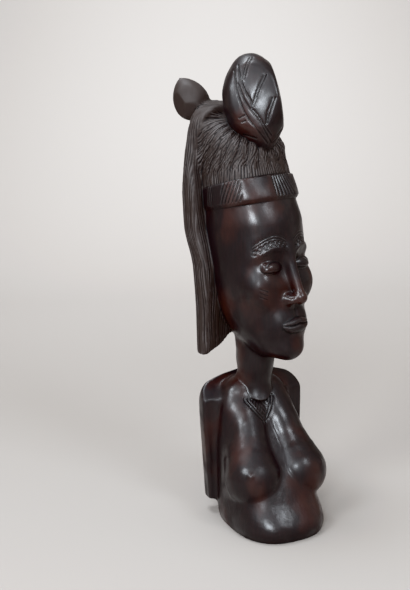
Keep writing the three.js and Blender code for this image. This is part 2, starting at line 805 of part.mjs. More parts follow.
const bust = new THREE.Mesh(bustGeometry, ebony);
bust.name = "bust";

const group = new THREE.Group();
group.add(bust);

export default group;
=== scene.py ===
"""Dresses a carved hardwood bust of a woman: its knife-cut relief, its waxed finish and a pale studio.

The carving is worked out as a field in millimetres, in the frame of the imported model: negative in
the wood, positive in the air. The same forms as the solid's come first, and then the finer cuts.
The figure faces -Y and +X is her left.
"""

from math import cos, pi, radians, sin

import bpy
import numpy as np
from bpy.props import FloatProperty, FloatVectorProperty, IntProperty, PointerProperty
from mathutils import Matrix, Vector


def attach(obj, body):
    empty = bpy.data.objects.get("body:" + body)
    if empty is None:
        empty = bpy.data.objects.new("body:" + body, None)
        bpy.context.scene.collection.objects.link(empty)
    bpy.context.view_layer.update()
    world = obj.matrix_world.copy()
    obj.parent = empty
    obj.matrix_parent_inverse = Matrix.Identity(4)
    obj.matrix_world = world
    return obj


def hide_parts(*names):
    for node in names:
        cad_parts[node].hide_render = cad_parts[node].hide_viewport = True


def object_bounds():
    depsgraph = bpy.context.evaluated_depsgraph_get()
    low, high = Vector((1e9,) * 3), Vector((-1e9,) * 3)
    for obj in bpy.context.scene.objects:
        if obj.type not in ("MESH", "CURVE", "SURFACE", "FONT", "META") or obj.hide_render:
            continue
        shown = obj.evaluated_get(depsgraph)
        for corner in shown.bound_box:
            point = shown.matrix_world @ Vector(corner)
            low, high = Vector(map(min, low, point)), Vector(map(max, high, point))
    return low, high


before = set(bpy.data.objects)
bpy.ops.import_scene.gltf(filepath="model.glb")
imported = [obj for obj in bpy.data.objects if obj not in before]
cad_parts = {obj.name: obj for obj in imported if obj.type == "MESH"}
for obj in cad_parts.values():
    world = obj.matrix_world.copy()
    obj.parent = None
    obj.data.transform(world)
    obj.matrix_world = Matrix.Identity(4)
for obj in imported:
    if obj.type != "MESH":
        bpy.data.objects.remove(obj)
CAD_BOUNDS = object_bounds()

bl_info = {
    "name": "Carved hardwood bust",
    "version": (1, 0, 0),
    "blender": (4, 5, 0),
    "location": "3D View > Sidebar > Carving",
    "description": "Carves a dark hardwood bust of a woman with waxed finish on a pale studio floor",
    "category": "Add Mesh",
}

MM = 0.001
# The colours of the soft lights and of the even light all around, then how far the soft lights are from
# the figure and the height that they face, in metres
LIGHT_COLOUR = (0.86, 0.93, 1)
SKY_COLOUR = (1, 0.97, 0.94, 1)
LIGHT_DISTANCE = 1.4
FIGURE_MIDDLE = 0.2

# The solid's own places, in millimetres
MIDDLE_X = 3.0
NECK_Y = 31.5
HEAD_TURN = radians(16)
HEAD_TILT = radians(6)
FACE_CENTRE_HEIGHT = 215.0
THIRD = 47.0
BROW = THIRD / 2
NOSE_BASE = -THIRD / 2
CHIN = -1.5 * THIRD
FACE_HALF_WIDTH = 39.5
FOREHEAD_DEPTH = 49.0
EYE_APART = 33.0
EYE_HEIGHT = 9.0
MOUTH_HALF_WIDTH = 14.5
UPPER_LIP = 6.3
LOWER_LIP = 7.6
BASE_HALF_WIDTH = 41.0
BASE_HALF_DEPTH = 51.5
WAIST_HALF_WIDTH = 38.0
BREAST_RADIUS = 25.2
BREAST_HEIGHT = 44.5
BREAST_Y = -6.5
BREAST_APART = 44.0
NIPPLE_OUT = radians(33)
NIPPLE_RISE = radians(26)
SHOULDER_HALF_WIDTH = 49.5
WRIST_HALF_WIDTH = 46.0
ARM_FRONT = 32.5
ARM_BACK = 50.5
PIN_HOLE = (37.9, 31.5, 88.5)
ARM_END = 13.0
SHOULDER_EDGE = 107.0
NECK_RADIUS = 14.0
HAIR_HALF_WIDTH = 48.5
HAIR_TIP = 148.0
HAIR_TOP = 361.0
LOCK_PITCH = 6.2
LOCK_DEPTH = 0.8
CROWN_LEAN = 0.7
CROWN_LOCK_PITCH = 12.5
CROWN_LOCK_DEPTH = 1.3
BAND_HALF_WIDTH = 40.5
BAND_HALF_HEIGHT = 10.0
LEAF_HALF_HEIGHT = 42.5
LEAF_HALF_WIDTH = 27.0
LEAF_HALF_DEPTH = 28.0
LEAF_LEAN = radians(15)
LEAF_CHEEK_TURN = radians(50)
LEAF_CHEEK_RADIUS = 95.0
LEAF_CHEEK_REACH = 21.0
BUD_RADIUS = 15.8
PENDANT_X = -1.5
PENDANT_TIP = 90.0
PENDANT_TOP = 107.0
PENDANT_HALF_WIDTH = 12.5
# The body is worked out below the first height and the head above the second. What is far from both
# counts as this far.
BODY_TOP = 205.0
HEAD_FOOT = 118.0
FAR = 60.0
# How far the surface lies inside the solid's, which keeps it within the solid's box
PARED = 0.12


def linear(hex_colour):
    """An sRGB hex colour such as "2b1f1c" as the linear red, green and blue that shaders take."""
    channels = [int(hex_colour[i:i + 2], 16) / 255 for i in (0, 2, 4)]
    return tuple(c / 12.92 if c <= 0.04045 else ((c + 0.055) / 1.055) ** 2.4 for c in channels)


# How fields are joined and cut


def ease(share):
    """Runs smoothly from 0 to 1 while the share does."""
    t = np.clip(share, 0, 1)
    return t * t * (3 - 2 * t)


def join(a, b, k):
    """Joins two fields with a fillet about k wide."""
    h = np.maximum(k - np.abs(a - b), 0) / k
    return np.minimum(a, b) - h * h * k / 4


def keep(a, b, k):
    """Keeps what lies in both fields, with the edge between them rounded over k."""
    return -join(-a, -b, k)


def cut(a, tool, k):
    return keep(a, -tool, k)


def keyed(keys, position):
    """A smooth curve through (position, value) keys that never overshoots them."""
    at = np.array([key[0] for key in keys], float)
    value = np.array([key[1] for key in keys], float)
    step = np.diff(at)
    slope = np.diff(value) / step
    tangent = np.zeros(len(at))
    tangent[0], tangent[-1] = slope[0], slope[-1]
    for i in range(1, len(at) - 1):
        if slope[i - 1] * slope[i] > 0:
            tangent[i] = 2 * slope[i - 1] * slope[i] / (slope[i - 1] + slope[i])
    p = np.clip(position, at[0], at[-1])
    i = np.clip(np.searchsorted(at, p, side="right") - 1, 0, len(step) - 1)
    u = (p - at[i]) / step[i]
    u2 = u * u
    u3 = u2 * u
    values = value[i] * (2 * u3 - 3 * u2 + 1) + value[i + 1] * (3 * u2 - 2 * u3)
    return values + step[i] * (tangent[i] * (u3 - 2 * u2 + u) + tangent[i + 1] * (u3 - u2))


def ellipsoid(x, y, z, centre, radii):
    px, py, pz = (x - centre[0]) / radii[0], (y - centre[1]) / radii[1], (z - centre[2]) / radii[2]
    reach = np.sqrt(px * px + py * py + pz * pz)
    slope = np.sqrt((px / radii[0]) ** 2 + (py / radii[1]) ** 2 + (pz / radii[2]) ** 2)
    return reach * (reach - 1) / np.maximum(slope, 1e-6)


def rod(x, y, z, start, end, start_radius, end_radius):
    """A round-ended rod whose radius runs evenly from one end to the other."""
    dx, dy, dz = (e - s for s, e in zip(start, end))
    along = (x - start[0]) * dx + (y - start[1]) * dy + (z - start[2]) * dz
    t = np.clip(along / (dx * dx + dy * dy + dz * dz), 0, 1)
    square = (x - start[0] - t * dx) ** 2 + (y - start[1] - t * dy) ** 2 + (z - start[2] - t * dz) ** 2
    return np.sqrt(square) - (start_radius + (end_radius - start_radius) * t)


def column(x, y, z, rows, roundness):
    """A column of rounded sections. Each row is (height, half width, front y, back y)."""
    a = keyed([(row[0], row[1]) for row in rows], z)
    front = keyed([(row[0], row[2]) for row in rows], z)
    back = keyed([(row[0], row[3]) for row in rows], z)
    half = (back - front) / 2
    across = np.abs(x / a) ** roundness
    deep = np.abs((y - (front + back) / 2) / half) ** roundness
    return ((across + deep) ** (1 / roundness) - 1) * np.minimum(a, half)


# Knife cuts


def scatter(*cells):
    """A number from 0 to 1 that stays the same for the same whole numbers."""
    mixed = sum(cell * weight for cell, weight in zip(cells, (127.1, 311.7, 74.7)))
    spread = np.sin(mixed) * 43758.5453
    return spread - np.floor(spread)


def notch(distance, width):
    """The share of full depth that a V cut has at a distance from its middle line."""
    return np.clip(1 - np.abs(distance) / (width / 2), 0, 1)


def gouges(along, across, pitch, length, seed):
    """Rows of V cuts of uneven length, depth and slant, side by side along one direction."""
    lane = np.floor(across / pitch)
    moved = along + length * scatter(lane, seed)
    piece = np.floor(moved / length)
    share = moved / length - piece
    chance = scatter(lane, piece, seed + 1)
    slant = (share - 0.5) * (scatter(lane, piece, seed + 2) - 0.5) * 0.5
    middle = 0.5 + 0.3 * (chance - 0.5) + slant
    ends = ease(share / 0.16) * ease((1 - share) / 0.16)
    return notch(across / pitch - lane - middle, 0.86) * ends * (0.45 + 0.55 * chance) * (chance > 0.08)


def line_cut(u, v, path, width):
    """A V cut along a path of (u, v) corners."""
    nearest = np.full(np.shape(u), 1e9)
    for (u0, v0), (u1, v1) in zip(path, path[1:]):
        du, dv = u1 - u0, v1 - v0
        t = np.clip(((u - u0) * du + (v - v0) * dv) / (du * du + dv * dv), 0, 1)
        nearest = np.minimum(nearest, np.hypot(u - u0 - t * du, v - v0 - t * dv))
    return notch(nearest, width)


# Torso, arms and neck

TORSO = [
    (0, BASE_HALF_WIDTH - 1.5, -BASE_HALF_DEPTH + 2, BASE_HALF_DEPTH),
    (8, BASE_HALF_WIDTH, -BASE_HALF_DEPTH, BASE_HALF_DEPTH),
    (30, WAIST_HALF_WIDTH + 1, -37, BASE_HALF_DEPTH),
    (46, WAIST_HALF_WIDTH, -27.5, BASE_HALF_DEPTH),
    (62, WAIST_HALF_WIDTH - 1, -14.5, BASE_HALF_DEPTH - 1),
    (80, WAIST_HALF_WIDTH - 3, 1, BASE_HALF_DEPTH - 1),
    (98, WAIST_HALF_WIDTH - 5, 11, BASE_HALF_DEPTH - 2),
    (114, 27, 20.5, BASE_HALF_DEPTH - 4),
    (130, 18, 25, BASE_HALF_DEPTH - 7),
    (142, 16, 27, BASE_HALF_DEPTH - 10),
]
SHOULDER_LINE = [
    (0, 146), (16, 141), (24, 133), (34, 126), (41, 121.5), (48, 115), (SHOULDER_HALF_WIDTH + 2, 108),
]


def torso(x, y, z):
    capped = keep(column(x, y, z, TORSO, 2.6), z - 128, 14)
    return keep(capped, -z, 1.2)


def breasts(x, y, z):
    side = np.abs(x - MIDDLE_X)
    middle = BREAST_APART / 2
    fullness = ellipsoid(side, y, z, (middle, BREAST_Y, BREAST_HEIGHT), (BREAST_RADIUS,) * 3)
    waist = (15.5, 19.8, 85.2)
    slope = join(
        rod(side, y, z, (13, 31.5, 107), waist, 11, 16),
        rod(side, y, z, waist, (middle - 2.5, 4.8, 59), 16, 22), 10)
    out = BREAST_RADIUS - 2
    reach = cos(NIPPLE_RISE) * out
    tip = (
        middle + sin(NIPPLE_OUT) * reach, BREAST_Y - cos(NIPPLE_OUT) * reach,
        BREAST_HEIGHT + sin(NIPPLE_RISE) * out)
    nipple = ellipsoid(side, y, z, tip, (2.7, 2.7, 2.7))
    return join(join(fullness, slope, 6), nipple, 2.5)


def arms(x, y, z):
    """Shoulders and the two arms, which hang straight down behind the body like planks."""
    side = np.abs(x - MIDDLE_X)
    rise = np.clip((z - ARM_END) / 80, 0, 1)
    half_width = WRIST_HALF_WIDTH + (SHOULDER_HALF_WIDTH - WRIST_HALF_WIDTH) * rise
    front = ARM_FRONT + (side - 40) * 0.2
    form = keep(front - y, side - half_width, 3)
    form = keep(form, y - ARM_BACK, 9)
    form = keep(form, (z - keyed(SHOULDER_LINE, side)) * 0.8, 9)
    form = keep(form, ((z - SHOULDER_EDGE) - (y - front) * 0.85) * 0.76, 2)
    form = keep(form, ARM_END - z, 1.5)
    groove_x = 34 - (z - ARM_END) * 0.06
    groove = np.hypot(side - groove_x, y - ARM_BACK - 1.5) - 4
    form = cut(form, ellipsoid(x, y, z, PIN_HOLE, (1.1, 1.6, 1.3)), 0.4)
    return cut(form, keep(groove, z - 108, 6), 2.5)


def neck(x, y, z):
    foot = np.clip((122 - z) / 22, 0, 1) ** 2
    radius = NECK_RADIUS + 3 * foot + 3 * ease((z - 118) / 26) + 3 * np.clip((z - 150) / 30, 0, 1)
    centre_x = MIDDLE_X - np.clip((170 - z) / 30, 0, 1)
    centre_y = NECK_Y - 3.5 - 8.5 * foot + 0.5 * np.clip((z - 120) / 50, 0, 1)
    form = np.hypot(x - centre_x, (y - centre_y) * 0.95) - radius
    hem = PENDANT_TOP + 0.03 * (x - PENDANT_X) ** 2
    return keep(keep(form, z - 190, 4), hem - z, 1.5)


def pendant_cuts(x, z):
    """A shield below the neck: a double outline with slanted cuts inside."""
    rise = np.clip((z - PENDANT_TIP) / (PENDANT_TOP - PENDANT_TIP), 0, 1)
    half_width = PENDANT_HALF_WIDTH * np.where(x < PENDANT_X, rise ** 0.9, rise ** 0.55)
    inward = (half_width - np.abs(x - PENDANT_X)) * 0.8
    shown = ease((PENDANT_TOP + 3 - z) / 1.5) * ease((z - PENDANT_TIP + 3) / 2)
    outline = 1.0 * notch(inward + 1.2, 1.9) + 0.8 * notch(inward - 1.2, 1.6)
    lean = np.where(x < PENDANT_X, 1.0, -1.0)
    pitch = 2.7
    lane = np.mod((x - PENDANT_X) * 0.8 - lean * z * 0.6, pitch) - pitch / 2
    hatch = 0.7 * notch(lane, 1.8) * ease((inward - 2.2) / 0.6)
    return (outline + hatch) * shown


# The face, in a frame that turns and tilts with the head

HEAD = [
    (CHIN, 13, -38, -8),
    (CHIN + 9, 19.5, -42.5, 4),
    (CHIN + 22, 27.5, -45, 18),
    (NOSE_BASE - 5, 34.5, -46.5, 28),
    (0, FACE_HALF_WIDTH - 1, -47.5, 35),
    (BROW + 1, FACE_HALF_WIDTH, -FOREHEAD_DEPTH, 38),
    (BROW + 21, FACE_HALF_WIDTH, -FOREHEAD_DEPTH + 0.5, 38),
    (BROW + 36, FACE_HALF_WIDTH - 1, -44.5, 38),
    (BROW + 52, FACE_HALF_WIDTH - 2.5, -38, 38),
    (BROW + 76, FACE_HALF_WIDTH - 5.5, -29, 38),
]


def head_frame(x, y):
    from_x, from_y = x - MIDDLE_X, y - NECK_Y
    c, s = cos(HEAD_TURN), sin(HEAD_TURN)
    return from_x * c + from_y * s, from_y * c - from_x * s


def face_frame(y, z):
    rise = z - FACE_CENTRE_HEIGHT
    c, s = cos(HEAD_TILT), sin(HEAD_TILT)
    return y * c - rise * s, y * s + rise * c


def brow_line(side):
    t = np.clip((side - 3) / 29, 0, 1)
    return BROW - 3 + 7 * np.sin(pi * t ** 0.9) - 3 * t


def eye(side, y, z):
    """A ball under a heavy upper lid and a thin lower one, with a narrow slit between them."""
    across = np.clip((side - EYE_APART / 2) / 10.5, -1, 1)
    arch = 1 - across * across
    slit = EYE_HEIGHT - 2.4 - 0.6 * across - 1.6 * arch
    upper_lid = np.clip((z - slit - 0.9) / 0.6, 0, 1) * np.clip(arch * 4, 0, 1)
    lower_lid = np.clip((slit - 1.3 - z) / 0.6, 0, 1)
    fold = np.exp(-((z - slit - 9.2 * arch ** 0.8 - 0.5) / 0.8) ** 2) * np.clip(arch * 2, 0, 1)
    ball = ellipsoid(side, y, z, (EYE_APART / 2, -37.5, EYE_HEIGHT), (11.5, 9.6, 8.2))
    return ball + 1 - upper_lid - 0.7 * lower_lid + 0.6 * fold


def lips(side, z):
    """How far the lips stand out, from a crisp edge to the line where they meet."""
    across = np.clip(side / MOUTH_HALF_WIDTH, 0, 1)
    line = CHIN + THIRD * 0.666 - 0.9 * np.sin(pi * across) - 0.4 * across
    upper_taper = np.sqrt(1 - across ** 1.7)
    lower_taper = np.sqrt(1 - across ** 2)
    upper = UPPER_LIP * upper_taper - 1.1 * np.exp(-(side / 2.2) ** 2)
    lower = LOWER_LIP * lower_taper

    def swell(share):
        inside = (share > 0) & (share < 1)
        return np.where(inside, np.sin(pi * np.clip(share, 0, 1) ** 0.75) ** 0.7, 0)

    upper_swell = swell((z - line) / np.maximum(upper, 0.3)) * upper_taper
    return 2.7 * upper_swell + 3 * swell((line - z) / np.maximum(lower, 0.3)) * lower_taper


def philtrum(side, z):
    between = np.clip((NOSE_BASE - 2 - z) / 2, 0, 1) * np.clip((z - NOSE_BASE + 11.5) / 2, 0, 1)
    return 0.8 * np.exp(-(side / 1.9) ** 2) * between


def face_cuts(side, z):
    """A cross-hatched band over each brow between fine lines, and three short cuts on each cheek."""
    above = z - brow_line(side)
    shown = ease((side - 3.5) / 1.5) * ease((32 - side) / 3)
    pitch = 3.7
    strokes = [notch(np.mod(side + lean * above, pitch) - pitch / 2, 1.8) for lean in (1, -1)]
    hatch = 0.75 * np.maximum(*strokes) * ease((above - 0.8) / 0.5) * ease((6.4 - above) / 0.5)
    edges = 0.5 * notch(above - 7.6, 1.4) + 0.5 * notch(above - 10, 1.3)
    cheek = 0
    for row in range(3):
        start, end = (25.5, -9.0 - 3.2 * row), (30.5, -6.5 - 3.2 * row)
        cheek = cheek + 0.5 * line_cut(side, z, (start, end), 1.3)
    return (hatch + edges) * shown + cheek


def face(x, y, z):
    side = np.abs(x)
    in_front = y < 0
    form = keep(column(x, y, z, HEAD, 2.15), CHIN - z, 9)
    form = keep(form, z - 100, 8)
    form = cut(form, ellipsoid(side, y, z, (17.5, -51.5, 8), (14.5, 8.5, 10.5)), 8)
    form = cut(form, ellipsoid(side, y, z, (31, -50, -40), (12, 12, 20)), 12)
    form = join(form, ellipsoid(side, y, z, (22, -33, -7), (12, 10, 12)), 12)
    ridge = 1.9 * np.exp(-((z - brow_line(side)) / 3.4) ** 2) * ease((side - 2) / 8) * ease((37 - side) / 14)
    form = form - in_front * ridge
    form = form + (y < -12) * face_cuts(side, z)
    bridge = rod(x, y, z, (0, -44.5, BROW), (0, -55.5, NOSE_BASE + 8), 3.8, 4.2)
    tip = ellipsoid(x, y, z, (0, -55.5, NOSE_BASE + 6), (5.8, 6, 5.4))
    wing = ellipsoid(side, y, z, (6.4, -49.5, NOSE_BASE + 4.6), (4.4, 6.2, 4.2))
    form = join(form, join(join(bridge, tip, 3), wing, 3.5), 7)
    form = cut(form, ellipsoid(side, y, z, (3.9, -52.5, NOSE_BASE - 0.2), (2.3, 3.6, 1.8)), 1.2)
    form = join(form, eye(side, y, z), 1.2)
    form = join(form, ellipsoid(x, y, z, (0, -38.5, CHIN + 31), (17.5, 10.5, 13)), 10)
    form = form + in_front * (philtrum(side, z) - lips(side, z))
    return join(form, ellipsoid(x, y, z, (0, -38.5, CHIN + 9.5), (12, 9, 9.5)), 9)


# The hair and what is in it, in a frame that turns with the head

HAIR_BACK = [(140, 24.5), (185, 24.3), (225, 26.5), (262, 36.8), (295, 38), (330, 38), (HAIR_TOP, 40)]
HAIR_WIDE = [
    (140, HAIR_HALF_WIDTH - 1), (200, HAIR_HALF_WIDTH - 0.5), (285, HAIR_HALF_WIDTH), (308, 46.3),
    (333, 41.4), (347, 35.7), (356, 27), (HAIR_TOP, 18),
]
HAIR_DEEP = [(140, 10), (165, 14), (200, 16), (250, 18), (285, 17), (310, 12), (330, 9), (HAIR_TOP, 16)]
HAIR_HEM = [(0, 167), (18, 163), (28, 155), (37, HAIR_TIP + 3), (44, HAIR_TIP), (60, HAIR_TIP)]
CROWN = [
    (276, 39, -32, 42), (290, 39, -32, 42), (305, 38.5, -26, 44), (316, 38, -23, 46), (328, 36.5, -22, 48),
    (345, 32.5, -8, 50), (360, 25, 12, 50), (372, 18, 20, 48),
]
BAND = [
    (262, BAND_HALF_WIDTH, -39, 42), (283, BAND_HALF_WIDTH, -37.5, 42), (305, BAND_HALF_WIDTH - 1, -28, 42),
]
# Where the groups of cuts on the band start and end, as angles round the head from its front
BAND_GROUPS = [(-92, -79), (-68, -42), (-8, 25), (46, 70), (82, 95)]
LEAF_SWELL = [
    (-LEAF_HALF_HEIGHT, 0.03), (-38, 0.27), (-28, 0.59), (-14, 0.9), (0, 1), (12, 0.97), (24, 0.81),
    (34, 0.55), (40, 0.3), (LEAF_HALF_HEIGHT, 0.03),
]
# Knife lines on each cheek of the leaf, as (place across the cheek, height above the leaf's middle)
MIDRIB = [
    [(10.5, 27), (10.8, 18), (11, 6), (9, -5.5), (6, -15), (1.5, -23), (-4, -35)],
    [(9, 15.5), (6.8, 1.5), (2.2, -8.7), (-3.5, -21), (-7, -35)],
    [(6.7, 31), (5.8, 15.5), (4.6, 8.5), (1.3, -0.7), (1.8, -7), (-2, -13), (-5.2, -21.5), (-8.7, -30)],
]
VEINS = [[(-4.7, 35), (3.9, 19)], [(-13.7, 17.5), (0, -4.5)], [(-17.4, -2), (-7.4, -21)]]
NICKS = [[(13.8, -11.7), (8.4, -10.5)], [(12.5, -15.5), (9.3, -15)], [(13.8, -24.3), (3.7, -30)]]
VEIN_APART = 2.4
KNIFE_WIDTH = 1.8


def flutes(across, pitch):
    """Flutes that part the hair into locks, from 0 on a lock's ridge to 1 between two locks."""
    return 1 - np.abs(np.sin(pi * across / pitch))


def fall_of_hair(x, y, z):
    """The long fall of hair, and the cuts in it."""
    half_width = keyed(HAIR_WIDE, z)
    edge = keyed(HAIR_BACK, z)
    side = np.abs(x)
    fullness = 12 * (1 - np.clip(side / half_width, 0, 1) ** 2)
    spread = x * (HAIR_HALF_WIDTH / half_width)
    back = y - edge - fullness + LOCK_DEPTH * flutes(spread, LOCK_PITCH)
    form = keep(back, side - half_width + 0.5 * LOCK_DEPTH * flutes(y - edge, LOCK_PITCH), 5)
    form = keep(form, edge - keyed(HAIR_DEEP, z) - y, 5)
    form = keep(form, keyed(HAIR_HEM, side) - z, 4)
    sway = 0.9 * np.sin(z / 19 + x * 0.05) + 0.5 * np.sin(z / 7.3 + x * 0.11)
    beside = ease((side - half_width + 5) / 3)
    upright = gouges(z, spread + sway, 2.3, 62, 3) * (1 - beside)
    cuts = np.maximum(upright, gouges(z, y - edge + 0.6 * sway + 40, 2.1, 85, 11) * beside)
    return keep(form, z - HAIR_TOP, 8), cuts * ease((HAIR_TOP - 5 - z) / 9)


def band_middle(y):
    return 287 - 0.22 * y


def band_half_height(y):
    return BAND_HALF_HEIGHT - 0.03 * y


def around(x, y):
    """The angle round the head from its front, in degrees, towards her left."""
    return np.degrees(np.arctan2(x, 12 - y))


def crown(x, y, z):
    """The hair combed up from the band and gathered towards the knots, and the cuts in it."""
    bend = around(x, y)
    above_band = z - band_middle(y) - band_half_height(y)
    lean = CROWN_LEAN * np.sin(np.radians(np.clip(bend, -90, 90)))
    arc = np.radians(bend) * 36
    combed = arc + lean * np.maximum(above_band - 8, 0)
    apart = ease((np.hypot(x, 12 - y) - 12) / 10)
    parting = flutes(combed + 0.12 * z, CROWN_LOCK_PITCH)
    locks = CROWN_LOCK_DEPTH * parting * ease((above_band - 3) / 8) * apart
    form = column(x, y, z, CROWN, 2.3) + locks
    form = keep(form, (z - (326 + (y + 30) * 0.5)) * 0.89 + locks, 12)
    wander = 0.5 * np.sin(arc * 0.43 + z * 0.05) + 0.3 * np.sin(arc * 0.9 - z * 0.08)
    straight = gouges(z, arc + 0.5 * wander, 2.2, 21, 5) * ease((15 - above_band) / 4)
    gathered = gouges(z, combed + wander, 2.5, 24, 7) * ease((above_band - 8) / 4)
    crossed = gouges(z, combed - 0.5 * (z - 300) + wander, 4.6, 16, 9)
    crossed = np.maximum(crossed, gouges(z, combed + 0.45 * (z - 300) - wander, 6.1, 14, 13))
    cuts = np.maximum(straight, np.maximum(gathered, crossed * ease((above_band - 9) / 4)))
    return keep(form, band_middle(y) - z, 2), cuts * apart


def band_cuts(x, y, z):
    """Groups of upright knife cuts across the band, with polished stretches between them."""
    bend = around(x, y)
    in_group = sum(ease((bend - start) / 2) * ease((end - bend) / 2) for start, end in BAND_GROUPS)
    slant = -0.3 * np.sin(np.radians(bend) * 1.6)
    pitch = 2.9
    lane = np.mod(np.radians(bend) * 38 - slant * (z - band_middle(y)), pitch) - pitch / 2
    return notch(lane, 2.0) * in_group


def headband(x, y, z, hatch_depth):
    strip = np.abs(z - band_middle(y)) * 0.975 - band_half_height(y)
    above_foot = z - band_middle(y) + band_half_height(y)
    bevel = 0.55 * np.maximum(3.2 - above_foot, 0)
    form = column(x, y, z, BAND, 2.25) + hatch_depth * band_cuts(x, y, z) * ease((above_foot - 2.6) / 0.8)
    return keep(keep(form + bevel, strip, 1), y - 30, 4)


def leaf_frame(y, z):
    from_y, from_z = y + 6.4, z - 361.5
    c, s = cos(LEAF_LEAN), sin(LEAF_LEAN)
    return from_y * c - from_z * s, from_y * s + from_z * c


def leaf_cuts(side, v, w):
    """The knife lines of a leaf: a ragged midrib, pairs of veins that draw together and a few nicks."""
    across = side * cos(LEAF_CHEEK_TURN) + v * sin(LEAF_CHEEK_TURN)
    paths = MIDRIB + NICKS
    for (u0, w0), (u1, w1) in VEINS:
        for shift in (-VEIN_APART / 2, VEIN_APART / 2):
            middle = ((u0 + u1) / 2 + shift + 0.8, (w0 + w1) / 2)
            paths = paths + [[(u0 + shift, w0), middle, (u1 + shift / 2, w1)]]
    cuts = 0
    for path in paths:
        cuts = np.maximum(cuts, line_cut(across, w, path, KNIFE_WIDTH))
    return cuts


def leaf_knot(x, y, z, vein_depth):
    v, w = leaf_frame(y, z)
    swell = np.hypot(x / LEAF_HALF_WIDTH, v / LEAF_HALF_DEPTH) - keyed(LEAF_SWELL, w)
    pod = keep(swell * LEAF_HALF_WIDTH * 0.8, np.abs(w) - LEAF_HALF_HEIGHT, 2)
    side = np.abs(x)
    inset = LEAF_CHEEK_RADIUS - LEAF_CHEEK_REACH
    across = side + inset * sin(LEAF_CHEEK_TURN)
    deep = v - inset * cos(LEAF_CHEEK_TURN)
    cheek = np.sqrt(across ** 2 + deep ** 2 + (0.8 * w) ** 2) - LEAF_CHEEK_RADIUS
    return keep(pod, cheek, 1.2) + vein_depth * leaf_cuts(side, v, w)


def bud_knot(x, y, z):
    """A bud with a pointed tip, and two flat cuts across its lower side at her right."""
    px, py, pz = x + 15, y - 59, z - 363
    dx, dy, dz = -5, 9.5, 20.5
    t = np.clip((px * dx + py * dy + pz * dz) / (dx * dx + dy * dy + dz * dz), 0, 1)
    away = np.sqrt((px - t * dx) ** 2 + (py - t * dy) ** 2 + (pz - t * dz) ** 2)
    bud = away - (BUD_RADIUS - 1) * (1 - t * t) ** 0.75 - 1
    end_cut = -0.97 * px - 0.22 * pz - 0.8 * BUD_RADIUS
    side_cut = -0.8 * px - 0.5 * py - 0.33 * pz - 0.86 * BUD_RADIUS
    thumb_hollow = ellipsoid(x, y, z, (-34.5, 46, 371), (9, 10, 11))
    return keep(keep(cut(bud, thumb_hollow, 7), end_cut, 0.8), side_cut, 0.8)


class Carving:
    """The whole carving as one field, with the depths of its fine cuts in millimetres."""

    def __init__(self, strand_depth, hatch_depth, vein_depth):
        self.strand_depth = strand_depth
        self.hatch_depth = hatch_depth
        self.vein_depth = vein_depth

    def body(self, x, y, z):
        form = join(torso(x, y, z), arms(x, y, z), 5)
        form = join(form, breasts(x, y, z), 1.8 + 9 * ease((z - 86) / 22))
        near = (z > PENDANT_TIP - 4) & (z < PENDANT_TOP + 4) & (y < 25)
        form = form + near * pendant_cuts(x, z)
        return join(form, neck(x, y, z), 1.5 + 6 * ease((z - 117) / 12))

    def hair(self, x, y, z):
        fall, fall_cuts = fall_of_hair(x, y, z)
        top, top_cuts = crown(x, y, z)
        on_top = ease((fall - top + 2) / 4)
        cuts = self.strand_depth * (fall_cuts * (1 - on_top) + 1.5 * top_cuts * on_top)
        return join(fall, top, 2 + 10 * ease((z - 294) / 30)) + cuts

    def head(self, x, y, z):
        hx, hy = head_frame(x, y)
        fy, fz = face_frame(hy, z)
        form = join(face(hx, fy, fz), self.hair(hx, hy, z), 3)
        form = join(form, headband(hx, hy, z, self.hatch_depth), 0.8)
        form = join(form, leaf_knot(hx, hy, z, self.vein_depth), 1.5)
        return join(form, bud_knot(hx, hy, z), 3)

    def __call__(self, x, y, z):
        body = np.full(x.shape, FAR)
        head = np.full(x.shape, FAR)
        low, high = z < BODY_TOP, z > HEAD_FOOT
        body[low] = self.body(x[low], y[low], z[low])
        head[high] = self.head(x[high], y[high], z[high])
        return join(body, head, 4) + PARED * ease(z / 2)

    def hairiness(self, x, y, z):
        """1 where the surface is cut hair or the bud, which are matt, 0 where it is polished."""
        hx, hy = head_frame(x, y)
        fy, fz = face_frame(hy, z)
        hair = self.hair(hx, hy, z)
        smooth = np.minimum(face(hx, fy, fz), headband(hx, hy, z, self.hatch_depth))
        smooth = np.minimum(smooth, leaf_knot(hx, hy, z, self.vein_depth))
        smooth = np.minimum(smooth, self.body(x, y, z))
        return ease((smooth - np.minimum(hair, bud_knot(hx, hy, z)) + 0.3) / 0.6)


# Skinning


def in_chunks(field, points, size=60000):
    """The field at many points, a few at a time to spare memory."""
    parts = [field(*points[i:i + size].T) for i in range(0, len(points), size)]
    return np.concatenate(parts)


def sample(field, low, high, cell, block=8):
    """The field on a lattice. Away from the surface only its sign is right."""
    blocks = np.ceil((high - low) / (cell * block)).astype(int)
    middle = [low[a] + (np.arange(blocks[a]) + 0.5) * cell * block for a in range(3)]
    grid = np.stack(np.meshgrid(*middle, indexing="ij"), -1).reshape(-1, 3)
    coarse = in_chunks(field, grid).reshape(blocks)
    near = np.abs(coarse) < cell * block * 1.25
    value = np.sign(coarse).astype(np.float32)
    for axis in range(3):
        value = np.repeat(value, block, axis=axis)
    for i, j, k in np.argwhere(near):
        value[i * block:(i + 1) * block, j * block:(j + 1) * block, k * block:(k + 1) * block] = np.nan
    wanted = np.argwhere(np.isnan(value))
    value[tuple(wanted.T)] = in_chunks(field, low + wanted * cell)
    return value


